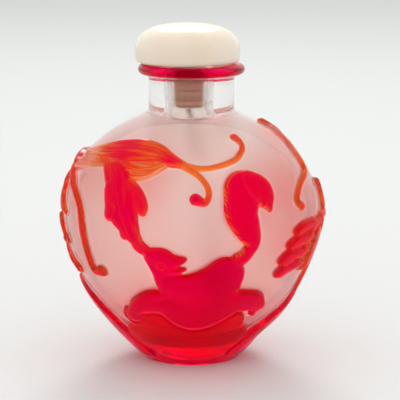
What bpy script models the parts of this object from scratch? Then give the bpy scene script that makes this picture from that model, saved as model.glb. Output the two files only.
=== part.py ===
"""A carved overlay glass snuff bottle with its stopper and spoon.

A flattened flask of clear glass is cased in red glass, and the casing is cut away to leave
a squirrel among grapevine leaves, tendrils and grapes, a lip ring and a red foot. Metres,
+Z up. The flask's axis is the Z axis, its foot stands on Z = 0 and its broad front faces -Y.
"""

import math

import bmesh
import bpy
from mathutils import Vector

MM = 0.001

# Flask, outside of the clear glass
BELLY_HALF_WIDTH = 26.6 * MM
BELLY_HALF_DEPTH = 18.9 * MM
BELLY_HEIGHT = 30.0 * MM
FOOT_HALF_WIDTH = 8.7 * MM
FOOT_HALF_DEPTH = 7.8 * MM
SHOULDER_RISE = 22.4 * MM
NECK_RADIUS = 8.7 * MM
SHOULDER_BLEND = 5.5 * MM
LOWER_FULLNESS = 1.5

# Mouth
LIP_TOP = 61.4 * MM
LIP_HEIGHT = 2.1 * MM
LIP_RADIUS = 10.9 * MM
LIP_FLARE = 1.1 * MM
MOUTH_BEVEL = 0.5 * MM

# Hollow
WALL = 2.6 * MM
BASE_THICKNESS = 4.6 * MM
FLOOR_FULLNESS = 8
BORE_SHIFT = -0.35 * MM
THROAT_BLEND = 9.0 * MM
THROAT_SLOPE = 1.5

# Foot
FOOT_RIM_WIDTH = 2.2 * MM
FOOT_RECESS = 0.6 * MM
FOOT_CASING = 0.8 * MM
FOOT_CASING_HEIGHT = 5.0 * MM
CASING_THINNING = 0.6

# Carving
RELIEF = 1.3 * MM
SINK = 0.5 * MM
CARVING_UNIT = BELLY_HALF_WIDTH / 26.6

# Stopper
PLUG_RADIUS = 3.2 * MM
PLUG_TAPER = 0.3 * MM
PLUG_LENGTH = 8.6 * MM
PLUG_ROUNDING = 0.6 * MM
PLUG_CLEARANCE = 0.35 * MM
CAP_RADIUS = 10.75 * MM
CAP_HEIGHT = 7.8 * MM
CAP_SIDE_HEIGHT = 1.3 * MM
CAP_BASE_RADIUS = 9.9 * MM
CAP_FULLNESS = 2.75
CAP_EDGE_TURN = 40
CAP_SHIFT = -0.8 * MM
SEAT_GAP = 0.3 * MM

# Spoon
STEM_RADIUS = 0.45 * MM
SPOON_LENGTH = 37.0 * MM
SPOON_LEAN = 8.5
SCOOP_LENGTH = 6.0 * MM
SCOOP_HALF_WIDTH = 1.5 * MM
SCOOP_THICKNESS = 0.65 * MM
SCOOP_DISH = 0.5 * MM
SCOOP_SWELL = 0.72

# Fineness
AROUND = 32
BELOW_BELLY = 8
ABOVE_BELLY = 7
HOLLOW_ABOVE = 5
HOLLOW_BELOW = 6
CASING_STEPS = 3
LIP_SIDES = 6
GRAPE_SIDES = 6
STOPPER_SIDES = 24
DOME_STEPS = 6
SPOON_SIDES = 6
SCOOP_STEPS = 3

# The carving's forms. A form is a spine of stations: the bearing in degrees round the flask
# from the middle of the front, to the right; the level in percent, from -100 at the foot
# through 0 at the belly to 100 where the shoulder closes on the neck; and the half-width in
# carving units. The number before the stations is the form's share of the full relief.
FRONT_LEAF = (
    (0.80, ((-74, 60, 1.3), (-56, 64, 2.2), (-44, 66, 2.8), (-30, 67, 3.0), (-20, 66, 2.4), (-12, 62, 1.6),
            (-2, 57, 0.7))),
    (0.75, ((-52, 60, 1.5), (-37, 56, 2.0), (-27, 53, 2.3), (-20, 54, 1.5), (-14, 57, 0.8))),
    (1.05, ((-48, 58, 1.5), (-38, 46, 2.8), (-33, 32, 3.3), (-31, 19, 3.3), (-28, 8, 2.4), (-25, -3, 1.5))),
    (0.95, ((-33, 27, 1.3), (-36, 19, 1.7), (-37, 14, 1.4))),
    (0.95, ((-28, 10, 1.0), (-29, 2, 1.3), (-29, -2, 1.1))),
    (0.95, ((-30, 43, 1.0), (-25, 33, 1.5), (-22, 24, 1.4), (-21, 18, 0.8))),
    (0.70, ((-51, 59, 1.6), (-62, 57, 1.8), (-76, 52, 1.6), (-84, 46, 0.7))),
    (0.95, ((-24, -3, 1.2), (-23, -8, 1.4), (-19, -13, 1.2))),
)
FRONT_TENDRILS = (
    (0.75, ((-4, 58, 0.7), (7, 55, 0.6), (22, 60, 0.6), (29, 66, 0.6), (33, 73, 0.6), (31, 79, 0.8))),
    (0.80, ((-4, 57, 0.7), (3, 50, 0.6), (7, 42, 0.6), (8, 34, 0.6), (6, 27, 0.7), (2, 30, 1.2))),
)
SQUIRREL = (
    (1.15, ((20, -36, 2.0), (20, -21, 1.8), (24, -15, 1.5), (27, -7, 1.6), (25, 1, 2.5), (22, 17, 3.4),
            (23, 29, 3.7), (24, 37, 3.9))),
    (1.15, ((26, 38, 3.7), (31, 36, 3.1), (34, 30, 2.2), (35, 24, 1.3), (36, 18, 0.5))),
    (1.10, ((-18, -16, 1.4), (-15, -19, 2.2), (-12, -26, 2.6), (-10, -33, 3.0), (-6, -40, 3.4))),
    (1.20, ((-19, -12, 0.8), (-13, -16, 2.1), (-10, -18, 1.8), (-6, -18, 1.2), (-3, -17, 0.6))),
    (1.15, ((-11, -23, 1.2), (-7, -24, 1.0), (-3, -24, 0.5))),
    (1.25, ((-9, -36, 2.6), (-2, -39, 3.6), (4, -38, 3.9), (11, -35, 4.3), (16, -28, 3.9))),
    (1.20, ((-31, -54, 1.2), (-15, -49, 2.4), (1, -55, 4.2), (17, -50, 3.2), (25, -48, 2.0))),
    (1.20, ((18, -46, 2.4), (27, -48, 2.6), (35, -49, 2.3), (39, -52, 1.7))),
    (1.15, ((34, -49, 1.6), (37, -55, 1.2), (37, -59, 0.6))),
    (1.20, ((-14, -42, 1.0), (-22, -45, 1.6), (-30, -52, 1.8), (-35, -59, 1.7))),
)
SIDE_STEMS = (
    (0.90, ((-84, 46, 0.8), (-70, 34, 0.8), (-58, 19, 0.8), (-54, 1, 0.9), (-53, -28, 0.8),
            (-47, -30, 1.3))),
    (0.70, ((98, 82, 0.9), (88, 74, 1.0), (78, 62, 1.0), (73, 46, 0.9), (60, 35, 0.8),
            (54, 24, 0.8), (57, 17, 0.9))),
    (0.80, ((-84, 30, 0.9), (-82, 20, 1.3), (-74, 10, 1.0), (-71, 8, 0.6))),
    (0.80, ((-80, 4, 0.7), (-77, -5, 0.8), (-73, -15, 0.5))),
    (0.90, ((-78, -26, 0.9), (-70, -33, 1.0))),
    (0.90, ((88, 32, 0.8), (91, 20, 1.1), (86, 6, 0.8))),
    (1.00, ((92, 3, 0.9), (76, 2, 0.9), (62, -5, 0.9), (59, -17, 0.8), (56, -27, 0.6))),
    (0.95, ((66, 1, 1.0), (57, -1, 1.2), (52, -3, 1.0))),
    (1.00, ((64, -8, 1.2), (54, -10, 1.5), (49, -12, 1.2))),
    (1.05, ((62, -17, 1.2), (51, -19, 1.6), (46, -22, 1.3))),
    (1.00, ((60, -26, 1.1), (50, -28, 1.5), (46, -31, 1.3))),
    (0.85, ((70, -4, 1.7), (74, -12, 2.3), (74, -22, 2.0), (70, -30, 1.1))),
    (0.80, ((90, -2, 1.0), (92, -16, 1.4), (90, -30, 1.3), (86, -43, 1.0), (82, -51, 0.6))),
    (0.90, ((112, 68, 1.4), (104, 78, 1.7), (98, 84, 1.2))),
)
ROCKS = (
    (1.00, ((-92, -44, 1.3), (-80, -53, 2.0), (-66, -66, 2.0), (-57, -78, 2.1), (-48, -91, 2.2))),
    (1.00, ((92, -51, 1.2), (78, -61, 1.7), (60, -70, 1.7), (50, -78, 1.9), (41, -89, 1.9))),
    (0.75, ((-38, -60, 2.0), (-27, -65, 3.6), (-12, -67, 4.2), (8, -69, 4.2), (24, -65, 3.4))),
    (0.75, ((-42, -74, 2.2), (-28, -79, 3.6), (-9, -82, 4.2), (10, -83, 4.2), (28, -80, 3.4),
            (36, -74, 1.8))),
    (0.90, ((110, -78, 2.2), (130, -70, 3.2), (150, -76, 3.0), (168, -72, 3.4), (186, -78, 2.8))),
    (0.90, ((192, -76, 2.6), (212, -68, 3.4), (230, -76, 2.8), (250, -70, 2.4), (264, -62, 1.2))),
)
BACK_VINE = (
    (1.00, ((112, 66, 1.1), (126, 48, 1.2), (144, 36, 1.2), (166, 38, 1.1), (187, 45, 1.0))),
    (1.05, ((184, 45, 1.0), (208, 44, 1.0), (232, 50, 1.1), (262, 55, 1.2), (278, 50, 1.0))),
    (0.80, ((166, 38, 0.8), (172, 54, 0.6), (182, 62, 0.6), (192, 58, 0.6), (190, 50, 1.0))),
    (0.80, ((208, 44, 0.8), (214, 28, 0.6), (224, 18, 0.6), (234, 20, 0.6), (232, 28, 1.0))),
    (0.80, ((144, 36, 0.9), (150, 20, 0.8), (148, 10, 0.8))),
)

# Vine leaves that are set out by rule: bearing, level, heading of the middle lobe in degrees
# from straight up, clockwise, and length of that lobe in carving units.
LEAVES = (
    (127, 26, 160, 9.0),
    (205, 24, 200, 9.5),
    (250, 34, 150, 9.0),
    (262, -18, 190, 7.5),
    (112, -22, 185, 7.5),
)
LOBE_TURNS = (0, 55, -55, 112, -112)
LOBE_LENGTHS = (1.0, 0.86, 0.86, 0.62, 0.62)
LOBE_HALF_WIDTH = 0.29
LOBE_OUTLINE = ((0.12, 0.5), (0.55, 1.0), (0.95, 0.35))
LOBE_RELIEF = 0.95
LOBE_STEP = 0.05

# Bunch of grapes on the back: where its stalk is, the berries in each row from the top
GRAPES_BEARING = 150
GRAPES_LEVEL = 4
GRAPE_ROWS = (3, 4, 3, 2, 1)
GRAPE_RADIUS = 1.45 * MM
GRAPE_PITCH = 2.5 * MM


def smooth_max(first, second, blend):
    """The larger of two lengths, with a rounded corner where they are nearly equal."""
    nearness = max(blend - abs(first - second), 0.0) / blend
    return max(first, second) + nearness * nearness * blend / 4


def lower_curve(height, belly, foot):
    """Half-width below the belly: a soft superellipse that meets the foot at its own width."""
    reach = BELLY_HEIGHT / (1 - (foot / belly) ** LOWER_FULLNESS) ** (1 / LOWER_FULLNESS)
    share = min(max((BELLY_HEIGHT - height) / reach, 0.0), 1.0)
    return belly * (1 - share ** LOWER_FULLNESS) ** (1 / LOWER_FULLNESS)


def upper_curve(height, belly, rise):
    """Half-width above the belly: a quarter ellipse."""
    share = min(max((height - BELLY_HEIGHT) / rise, 0.0), 1.0)
    return belly * math.sqrt(1 - share * share)


def outside(height, belly, foot):
    """Half-width of the clear glass, with the shoulder blended into the neck."""
    if height < BELLY_HEIGHT:
        return lower_curve(height, belly, foot)
    return smooth_max(upper_curve(height, belly, SHOULDER_RISE), NECK_RADIUS, SHOULDER_BLEND)


def half_width(height):
    return outside(height, BELLY_HALF_WIDTH, FOOT_HALF_WIDTH)


def half_depth(height):
    return outside(height, BELLY_HALF_DEPTH, FOOT_HALF_DEPTH)


def level_height(level):
    """Height of a level in percent: -100 foot, 0 belly, 100 top of the shoulder."""
    if level < 0:
        return BELLY_HEIGHT * (1 + level / 100)
    return BELLY_HEIGHT + SHOULDER_RISE * level / 100


def on_flask(bearing, height):
    """Point of the flask's outside at a bearing in radians and a height."""
    return Vector((half_width(height) * math.sin(bearing), -half_depth(height) * math.cos(bearing), height))


def flask_frame(bearing, height):
    """Point, its two surface directions per radian and per metre, and the outward normal."""
    turn = 0.002
    climb = 0.02 * MM
    around = (on_flask(bearing + turn, height) - on_flask(bearing - turn, height)) / (2 * turn)
    up = (on_flask(bearing, height + climb) - on_flask(bearing, height - climb)) / (2 * climb)
    return on_flask(bearing, height), around, up, around.cross(up).normalized()


def walk(bearing, height, step):
    """Bearing and height reached from a place by a step that lies in the surface there."""
    _, around, up, _ = flask_frame(bearing, height)
    around_around = around.dot(around)
    up_up = up.dot(up)
    mixed = around.dot(up)
    along_around = step.dot(around)
    along_up = step.dot(up)
    scale = around_around * up_up - mixed * mixed
    turn = (along_around * up_up - along_up * mixed) / scale
    climb = (along_up * around_around - along_around * mixed) / scale
    return bearing + turn, height + climb


def raised(bearing, height, lift):
    """Point that stands a given distance out from the flask's surface."""
    point, _, _, normal = flask_frame(bearing, height)
    return point + normal * lift


def smooth_run(rows, count):
    """Rows of numbers at count places along a Catmull-Rom curve through the given rows."""
    ends = [tuple(2 * a - b for a, b in zip(rows[0], rows[1]))]
    tail = [tuple(2 * a - b for a, b in zip(rows[-1], rows[-2]))]
    padded = ends + [tuple(row) for row in rows] + tail
    result = []
    for index in range(count):
        place = index * (len(rows) - 1) / (count - 1)
        span = min(int(place), len(rows) - 2)
        t = place - span
        four = padded[span:span + 4]
        result.append(tuple(
            b + 0.5 * t * (c - a + t * (2 * a - 5 * b + 4 * c - d + t * (3 * b - a - 3 * c + d)))
            for a, b, c, d in zip(*four)
        ))
    return result


def link(name, mesh, material):
    """Object of a mesh with one material."""
    item = bpy.data.objects.new(name, mesh)
    bpy.context.scene.collection.objects.link(item)
    mesh.materials.append(material)
    return item


def skin(rings, closed_start=True, closed_end=True, loop=False):
    """Mesh of quads between rings of equal length, with faces over the ends."""
    build = bmesh.new()
    made = [[build.verts.new(point) for point in ring] for ring in rings]
    pairs = list(zip(made, made[1:]))
    if loop:
        pairs.append((made[-1], made[0]))
    for near, far in pairs:
        for index in range(len(near)):
            after = (index + 1) % len(near)
            build.faces.new((near[index], near[after], far[after], far[index]))
    if closed_start and not loop:
        build.faces.new(reversed(made[0]))
    if closed_end and not loop:
        build.faces.new(made[-1])
    bmesh.ops.recalc_face_normals(build, faces=build.faces)
    return build


def finish(build, name, smooth_angle=40):
    """Mesh from a bmesh, shaded smooth but for its sharp edges."""
    mesh = bpy.data.meshes.new(name)
    build.to_mesh(mesh)
    build.free()
    mesh.shade_smooth()
    mesh.set_sharp_from_angle(angle=math.radians(smooth_angle))
    return mesh


def principled(name, colour, roughness, transmission=0.0, metallic=0.0):
    """Plain material with a colour, a roughness and a share of light let through."""
    material = bpy.data.materials.new(name)
    material.use_nodes = True
    shader = material.node_tree.nodes["Principled BSDF"]
    shader.inputs["Base Color"].default_value = (*colour, 1.0)
    shader.inputs["Roughness"].default_value = roughness
    shader.inputs["Transmission Weight"].default_value = transmission
    shader.inputs["Metallic"].default_value = metallic
    material.diffuse_color = (*colour, 1.0)
    return material


# Flask


def oval(height, across, deep, shift=0.0, sides=AROUND):
    """Ring of points on an ellipse at one height."""
    ring = []
    for index in range(sides):
        bearing = 2 * math.pi * index / sides
        ring.append(Vector((shift + across * math.sin(bearing), -deep * math.cos(bearing), height)))
    return ring


def bore_radius(height):
    """Radius of the bore: the tapered plug's radius plus the clearance round it."""
    share = (LIP_TOP - height) / PLUG_LENGTH
    return PLUG_RADIUS - PLUG_TAPER * min(share, 1.0) + PLUG_CLEARANCE


def outer_rings():
    """Rings of the outside from the foot's rim to the edge of the mouth."""
    rings = []
    for index in range(BELOW_BELLY + 1):
        height = BELLY_HEIGHT * index / BELOW_BELLY
        rings.append(oval(height, half_width(height), half_depth(height)))
    for index in range(1, ABOVE_BELLY + 1):
        height = BELLY_HEIGHT + SHOULDER_RISE * math.sin(0.5 * math.pi * index / ABOVE_BELLY)
        rings.append(oval(height, half_width(height), half_depth(height)))
    flare_foot = LIP_TOP - LIP_HEIGHT - LIP_FLARE
    flange = LIP_RADIUS - LIP_FLARE
    rings.append(oval((BELLY_HEIGHT + SHOULDER_RISE + flare_foot) / 2, NECK_RADIUS, NECK_RADIUS))
    rings.append(oval(flare_foot, NECK_RADIUS, NECK_RADIUS))
    rings.append(oval(LIP_TOP - LIP_HEIGHT, flange, flange))
    rings.append(oval(LIP_TOP, flange, flange))
    return rings


def hollow_size(height, belly):
    """Half-size of the hollow at a height above the belly: a quarter ellipse that carries on
    upwards as a slope, blended into the bore, so that the throat is a smooth funnel."""
    rise = SHOULDER_RISE - WALL
    over = max(height - BELLY_HEIGHT - rise, 0.0)
    narrow = bore_radius(LIP_TOP - PLUG_LENGTH)
    return smooth_max(upper_curve(height, belly - WALL, rise) - THROAT_SLOPE * over, narrow, THROAT_BLEND)


def inner_rings():
    """Rings of the inside from the mouth down through the bore to the floor of the hollow."""
    top = bore_radius(LIP_TOP)
    rings = [oval(LIP_TOP, top + MOUTH_BEVEL, top + MOUTH_BEVEL, BORE_SHIFT)]
    rings.append(oval(LIP_TOP - MOUTH_BEVEL, top, top, BORE_SHIFT))
    narrow = bore_radius(LIP_TOP - PLUG_LENGTH)
    hollow_rise = SHOULDER_RISE - WALL
    throat = BELLY_HEIGHT + hollow_rise
    funnel = (THROAT_BLEND - narrow) / THROAT_SLOPE
    for share in (1.0, 0.4):
        height = throat + funnel * share
        size = hollow_size(height, BELLY_HALF_WIDTH)
        rings.append(oval(height, size, size, BORE_SHIFT))
    for index in range(HOLLOW_ABOVE, 0, -1):
        share = math.sin(0.5 * math.pi * index / HOLLOW_ABOVE)
        height = BELLY_HEIGHT + hollow_rise * share
        across = hollow_size(height, BELLY_HALF_WIDTH)
        deep = hollow_size(height, BELLY_HALF_DEPTH)
        rings.append(oval(height, across, deep, BORE_SHIFT * share))
    depth = BELLY_HEIGHT - BASE_THICKNESS
    for index in range(HOLLOW_BELOW):
        height = BELLY_HEIGHT - depth * math.sin(0.5 * math.pi * index / HOLLOW_BELOW)
        share = (height - BASE_THICKNESS) / depth
        rounding = math.sqrt(1 - (1 - share) ** FLOOR_FULLNESS)
        across = (half_width(height) - WALL) * rounding
        deep = (half_depth(height) - WALL) * rounding
        rings.append(oval(height, across, deep))
    return rings


def flask_body():
    """Clear hollow flask with a recessed foot, as one closed skin."""
    rim_width = FOOT_HALF_WIDTH - FOOT_RIM_WIDTH
    rim_depth = FOOT_HALF_DEPTH - FOOT_RIM_WIDTH
    recess = oval(FOOT_RECESS, rim_width - FOOT_RECESS, rim_depth - FOOT_RECESS)
    rim = oval(0.0, rim_width, rim_depth)
    return skin([recess, rim] + outer_rings() + inner_rings())


def foot_casing():
    """Red casing round the foot: a band that stands out from the glass and thins upwards, and
    ends in a slope that runs into the glass."""
    rings = []
    for index in range(CASING_STEPS + 1):
        share = index / CASING_STEPS
        height = FOOT_CASING_HEIGHT * share
        lift = FOOT_CASING * (1 - CASING_THINNING * share ** 3)
        rings.append(oval(height, half_width(height) + lift, half_depth(height) + lift))
    top = FOOT_CASING_HEIGHT + SINK
    rings.append(oval(top, half_width(top) - SINK, half_depth(top) - SINK))
    rings.append(oval(0.0, FOOT_HALF_WIDTH - SINK, FOOT_HALF_DEPTH - SINK))
    return skin(rings, loop=True)


def lip_ring():
    """Red ring round the lip: a band with a rounded outer face."""
    rings = []
    middle = LIP_TOP - LIP_HEIGHT / 2
    for index in range(LIP_SIDES):
        angle = 2 * math.pi * (index + 0.5) / LIP_SIDES
        radius = LIP_RADIUS - LIP_FLARE + LIP_FLARE * math.cos(angle)
        rings.append(oval(middle + LIP_HEIGHT / 2 * math.sin(angle), radius, radius))
    return skin(rings, loop=True)


# Carving


NARROW = ((-1.0, None), (-0.65, 1.0), (0.65, 1.0), (1.0, None))
BROAD = ((-1.0, None), (-0.9, 0.7), (-0.4, 1.0), (0.4, 1.0), (0.9, 0.7), (1.0, None))
BROAD_FROM = 2.1
RINGS_PER_STATION = 1.15
END_REACH = 0.75
END_WIDTH = 0.5
END_LIFT = 0.8


def carved_form(stations, share):
    """Raised form along a spine: a section as wide as the stations say, carried over the glass."""
    widest = max(width for _, _, width in stations)
    section = BROAD if widest > BROAD_FROM else NARROW
    count = round(RINGS_PER_STATION * len(stations))
    run = smooth_run(stations, count)
    places = [(math.radians(bearing), level_height(level)) for bearing, level, _ in run]
    widths = [max(width, 0.3) * CARVING_UNIT for _, _, width in run]
    lift = RELIEF * share
    rings = []
    for index in range(-1, count + 1):
        near = min(max(index, 0), count - 1)
        bearing, height = places[near]
        before = on_flask(*places[max(near - 1, 0)])
        after = on_flask(*places[min(near + 1, count - 1)])
        _, _, _, normal = flask_frame(bearing, height)
        along = (after - before).normalized()
        aside = normal.cross(along).normalized()
        width = widths[near]
        top = lift
        if index != near:
            bearing, height = walk(bearing, height, along * (width * END_REACH * (index - near)))
            width = width * END_WIDTH
            top = lift * END_LIFT
        ring = []
        for across, rise in section:
            side_bearing, side_height = walk(bearing, height, aside * (across * width))
            ring.append(raised(side_bearing, side_height, -SINK if rise is None else top * rise))
        rings.append(ring)
    return skin(rings)


def leaf_lobes():
    """Spines of the leaves that are set out by rule: lobes that spread from the leaf's base."""
    forms = []
    for bearing, level, heading, length in LEAVES:
        start = (math.radians(bearing), level_height(level))
        _, around, _, normal = flask_frame(*start)
        across = around.normalized()
        upward = normal.cross(across)
        for order, (turn, share) in enumerate(zip(LOBE_TURNS, LOBE_LENGTHS)):
            angle = math.radians(heading + turn)
            direction = across * math.sin(angle) + upward * math.cos(angle)
            reach = length * share
            stations = []
            for part, wide in LOBE_OUTLINE:
                place = walk(*start, direction * (reach * part * CARVING_UNIT))
                height_level = place[1] - BELLY_HEIGHT
                span = SHOULDER_RISE if height_level > 0 else BELLY_HEIGHT
                stations.append((
                    math.degrees(place[0]),
                    100 * height_level / span,
                    reach * LOBE_HALF_WIDTH * wide,
                ))
            forms.append((LOBE_RELIEF - LOBE_STEP * order, tuple(stations)))
    return forms


def grape(bearing, height):
    """One berry: a low dome of few sides that is sunk in the glass."""
    centre, _, _, normal = flask_frame(bearing, height)
    across = normal.cross(Vector((0, 0, 1))).normalized()
    upward = normal.cross(across)
    rings = []
    for radius, lift in ((1.0, -SINK), (0.95, 0.45 * RELIEF), (0.5, 1.1 * RELIEF)):
        ring = []
        for index in range(GRAPE_SIDES):
            angle = 2 * math.pi * index / GRAPE_SIDES
            offset = across * math.cos(angle) + upward * math.sin(angle)
            ring.append(centre + offset * (GRAPE_RADIUS * radius) + normal * lift)
        rings.append(ring)
    return skin(rings)


def grape_bunch():
    """Berries in rows that narrow downwards, each row set half a pitch aside."""
    top = (math.radians(GRAPES_BEARING), level_height(GRAPES_LEVEL))
    _, around, _, normal = flask_frame(*top)
    across = around.normalized()
    upward = normal.cross(across)
    berries = []
    for row, count in enumerate(GRAPE_ROWS):
        for place in range(count):
            aside = (place - (count - 1) / 2) * GRAPE_PITCH
            down = row * GRAPE_PITCH * 0.9
            berries.append(grape(*walk(*top, across * aside - upward * down)))
    return berries


def carving_group(red):
    """Every red form as a hidden solid in one collection, for the union with the flask."""
    group = bpy.data.collections.new("casing")
    bpy.context.scene.collection.children.link(group)
    solids = [foot_casing(), lip_ring()]
    rows = FRONT_LEAF + FRONT_TENDRILS + SQUIRREL + SIDE_STEMS + ROCKS + BACK_VINE + tuple(leaf_lobes())
    for share, stations in rows:
        solids.append(carved_form(stations, share))
    solids.extend(grape_bunch())
    for index, build in enumerate(solids):
        mesh = finish(build, "casing_%02d" % index)
        mesh.materials.append(red)
        item = bpy.data.objects.new("casing_%02d" % index, mesh)
        item.hide_render = True
        item.display_type = 'WIRE'
        group.objects.link(item)
    return group


def make_bottle(clear, red):
    """The bottle: the clear flask and its red casing, fused into one solid."""
    bottle = link("bottle", finish(flask_body(), "bottle"), clear)
    bottle.data.materials.append(red)
    fuse = bottle.modifiers.new("fuse_casing", 'BOOLEAN')
    fuse.operation = 'UNION'
    fuse.solver = 'EXACT'
    fuse.operand_type = 'COLLECTION'
    fuse.collection = carving_group(red)
    fuse.material_mode = 'TRANSFER'
    return bottle


# Stopper


def make_cap(stone):
    """Domed cap: a short straight side with a rounded lower edge, then a full dome."""
    base = LIP_TOP + SEAT_GAP
    rings = [oval(base, CAP_BASE_RADIUS, CAP_BASE_RADIUS, CAP_SHIFT, STOPPER_SIDES)]
    turn = math.radians(CAP_EDGE_TURN)
    shelf = base + CAP_SIDE_HEIGHT * (1 - math.sin(turn))
    edge = CAP_BASE_RADIUS + (CAP_RADIUS - CAP_BASE_RADIUS) * math.cos(turn)
    rings.append(oval(shelf, edge, edge, CAP_SHIFT, STOPPER_SIDES))
    dome = CAP_HEIGHT - CAP_SIDE_HEIGHT
    for index in range(DOME_STEPS):
        angle = 0.5 * math.pi * index / DOME_STEPS
        radius = CAP_RADIUS * math.cos(angle) ** (2 / CAP_FULLNESS)
        height = base + CAP_SIDE_HEIGHT + dome * math.sin(angle) ** (2 / CAP_FULLNESS)
        rings.append(oval(height, radius, radius, CAP_SHIFT, STOPPER_SIDES))
    build = skin(rings, closed_end=False)
    top = build.verts.new((CAP_SHIFT, 0.0, base + CAP_HEIGHT))
    rim = [edge for edge in build.edges if edge.is_boundary]
    for edge in rim:
        build.faces.new((edge.verts[0], edge.verts[1], top))
    bmesh.ops.recalc_face_normals(build, faces=build.faces)
    return link("stopper_cap", finish(build, "stopper_cap"), stone)


def make_plug(wood):
    """Tapered plug that hangs from the cap into the bore, with a rounded lower edge."""
    top = LIP_TOP
    foot = LIP_TOP - PLUG_LENGTH
    lower = PLUG_RADIUS - PLUG_TAPER
    corner = PLUG_ROUNDING * (1 - math.sqrt(0.5))
    profile = (
        (top, PLUG_RADIUS),
        (foot + PLUG_ROUNDING, lower),
        (foot + corner, lower - corner),
        (foot, lower - PLUG_ROUNDING),
    )
    rings = [oval(height, radius, radius, BORE_SHIFT, STOPPER_SIDES) for height, radius in profile]
    return link("stopper_plug", finish(skin(rings), "stopper_plug"), wood)


def make_spoon(brass):
    """Thin round stem that widens into a small dished scoop, leaning a little to the right."""
    start = Vector((BORE_SHIFT, 0.0, LIP_TOP - PLUG_LENGTH - SEAT_GAP))
    lean = math.radians(SPOON_LEAN)
    down = Vector((math.sin(lean), 0.0, -math.cos(lean)))
    across = Vector((math.cos(lean), 0.0, math.sin(lean)))
    stem_end = SPOON_LENGTH - SCOOP_LENGTH
    sections = [(0.0, STEM_RADIUS, STEM_RADIUS, 0.0), (stem_end, STEM_RADIUS, STEM_RADIUS, 0.0)]
    for index in range(1, SCOOP_STEPS + 1):
        share = index / SCOOP_STEPS
        swell = math.sin(math.pi * SCOOP_SWELL * share)
        wide = STEM_RADIUS + (SCOOP_HALF_WIDTH - STEM_RADIUS) * swell
        place = stem_end + SCOOP_LENGTH * share
        sections.append((place, wide, SCOOP_THICKNESS / 2, SCOOP_DISH * math.sin(math.pi * share)))
    rings = []
    for place, wide, thick, dish in sections:
        ring = []
        for index in range(SPOON_SIDES):
            angle = 2 * math.pi * index / SPOON_SIDES
            sideways = math.cos(angle)
            depth = thick * math.sin(angle) + dish * (1 - sideways * sideways)
            ring.append(start + down * place + across * (wide * sideways) + Vector((0, depth, 0)))
        rings.append(ring)
    return link("spoon", finish(skin(rings), "spoon"), brass)


def main():
    for item in list(bpy.data.objects):
        bpy.data.objects.remove(item)
    clear = principled("clear_glass", (0.93, 0.86, 0.84), 0.05, 0.9)
    red = principled("red_overlay_glass", (0.78, 0.02, 0.05), 0.1, 0.5)
    stone = principled("cap_stone", (0.88, 0.82, 0.72), 0.2)
    wood = principled("plug_wood", (0.62, 0.45, 0.34), 0.7)
    brass = principled("spoon_brass", (0.62, 0.50, 0.34), 0.4, metallic=1.0)
    make_bottle(clear, red)
    make_cap(stone)
    make_plug(wood)
    make_spoon(brass)


main()
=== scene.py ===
"""Looks of a carved overlay glass snuff bottle with its stopper and spoon.

The flask is one closed skin: a fine grid outside that carries the carving, and a smooth
frosted skin inside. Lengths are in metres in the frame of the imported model, +Z up, and the
broad front with the squirrel faces -Y.
"""

import math

import bpy
import numpy as np
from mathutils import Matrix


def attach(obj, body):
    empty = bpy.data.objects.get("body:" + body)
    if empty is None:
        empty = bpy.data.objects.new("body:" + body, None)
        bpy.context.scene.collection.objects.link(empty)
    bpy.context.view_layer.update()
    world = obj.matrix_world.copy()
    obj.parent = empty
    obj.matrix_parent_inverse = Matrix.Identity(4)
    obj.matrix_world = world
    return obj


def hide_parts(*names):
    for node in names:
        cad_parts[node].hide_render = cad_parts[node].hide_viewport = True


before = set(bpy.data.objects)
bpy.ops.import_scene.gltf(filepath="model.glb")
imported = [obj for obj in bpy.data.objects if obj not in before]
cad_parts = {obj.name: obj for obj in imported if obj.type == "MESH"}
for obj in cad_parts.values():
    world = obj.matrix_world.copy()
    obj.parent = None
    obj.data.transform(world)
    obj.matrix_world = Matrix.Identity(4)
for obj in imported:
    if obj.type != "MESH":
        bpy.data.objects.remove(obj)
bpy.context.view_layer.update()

MM = 0.001

# Flask, as in the solids
BELLY_HALF_WIDTH = 26.6 * MM
BELLY_HALF_DEPTH = 18.9 * MM
BELLY_HEIGHT = 30.0 * MM
FOOT_HALF_WIDTH = 8.7 * MM
FOOT_HALF_DEPTH = 7.8 * MM
SHOULDER_RISE = 22.4 * MM
NECK_RADIUS = 8.7 * MM
SHOULDER_BLEND = 5.5 * MM
LOWER_FULLNESS = 1.5
LIP_TOP = 61.4 * MM
LIP_HEIGHT = 2.1 * MM
LIP_RADIUS = 10.9 * MM
LIP_FLARE = 1.1 * MM
MOUTH_BEVEL = 0.5 * MM
WALL = 2.6 * MM
BASE_THICKNESS = 4.6 * MM
FLOOR_FULLNESS = 8
BORE_SHIFT = -0.35 * MM
THROAT_BLEND = 9.0 * MM
THROAT_SLOPE = 1.5
FOOT_RIM_WIDTH = 2.2 * MM
FOOT_RECESS = 0.6 * MM
FOOT_CASING = 0.8 * MM
FOOT_CASING_HEIGHT = 5.0 * MM
CASING_THINNING = 0.6
FOOT_EDGE = 0.35 * MM
LIP_RED_FROM = math.radians(-65)

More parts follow.
